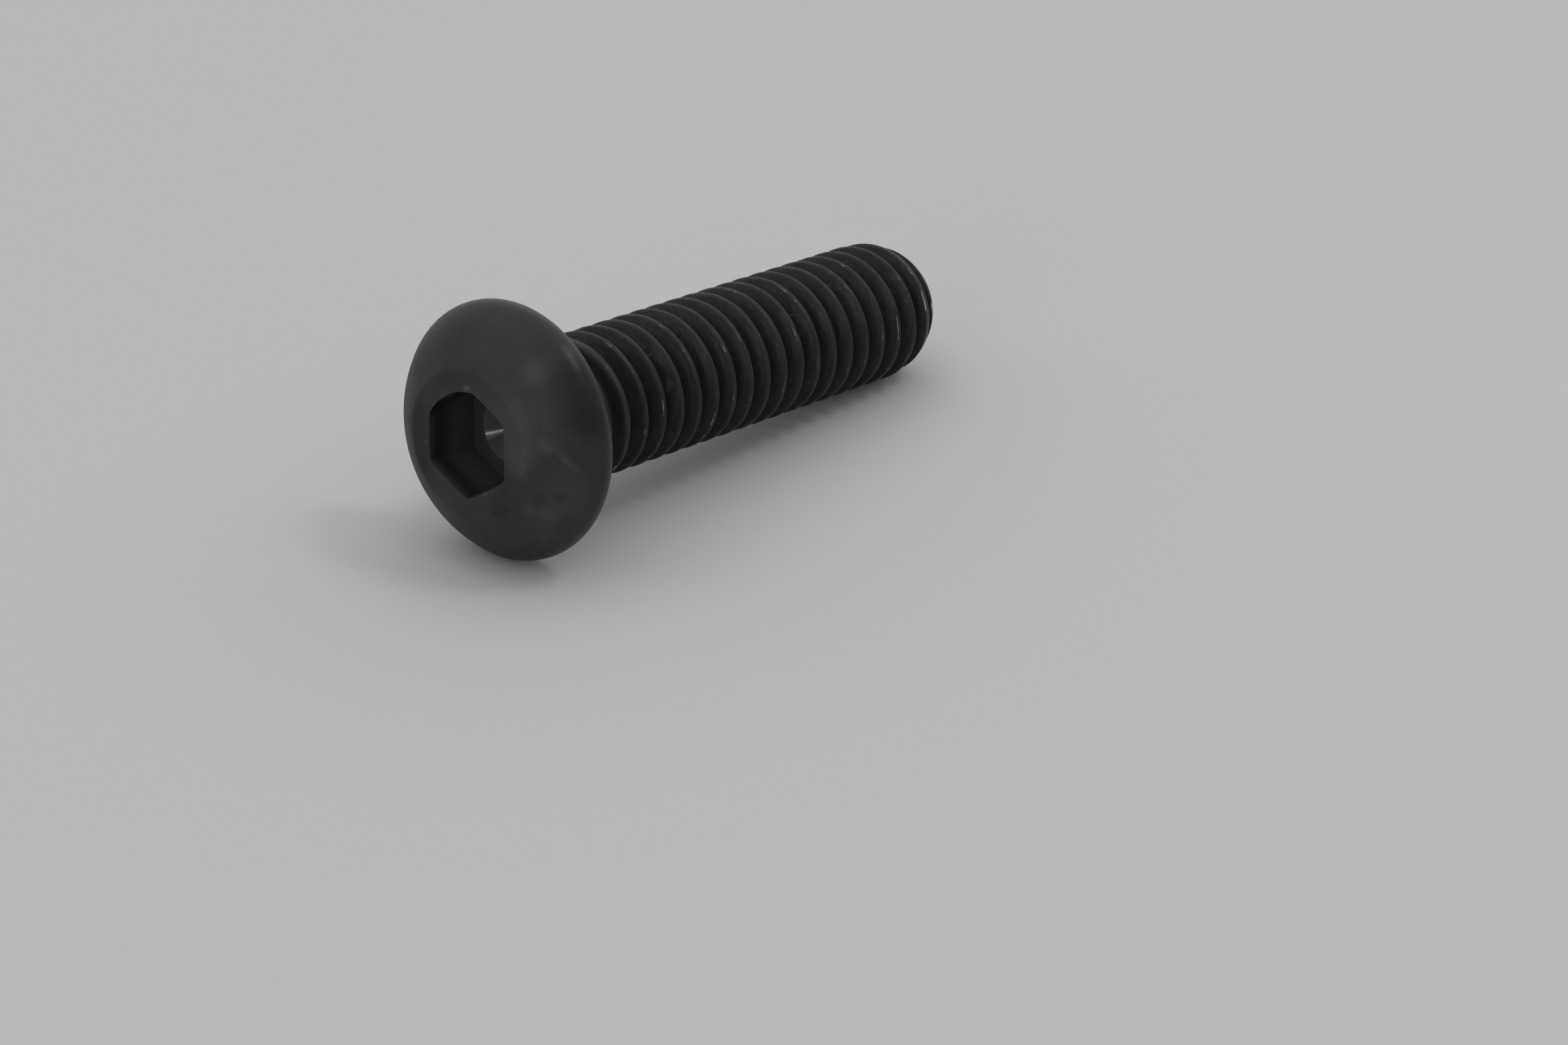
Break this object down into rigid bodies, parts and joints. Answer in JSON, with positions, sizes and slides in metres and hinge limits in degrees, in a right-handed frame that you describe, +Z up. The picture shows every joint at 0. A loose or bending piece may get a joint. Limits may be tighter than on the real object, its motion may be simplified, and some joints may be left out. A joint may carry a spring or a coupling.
{
  "type": "button head socket screw",
  "caption": "Black button head socket screw: low domed head with a hexagon socket, short plain neck and a coarse right-hand machine thread with a rounded point.",
  "frame": {"origin": "middle of the bounding box at floor level; the screw lies on its side, on the rim of its head and one thread crest near its point", "axes": "+X from the head towards the point, level with the floor; +Z up; the screw's own axis dips 5.82 degrees below +X towards the point"},
  "size_m": [0.036, 0.0138, 0.0137],
  "materials": {
    "black_steel": "black oxide over alloy steel, matt with a slight oily sheen, with bare glints on the thread crests and brown rust tints in the thread roots"
  },
  "bodies": {
    "root": {"screw": "black_steel"}
  },
  "joints": []
}
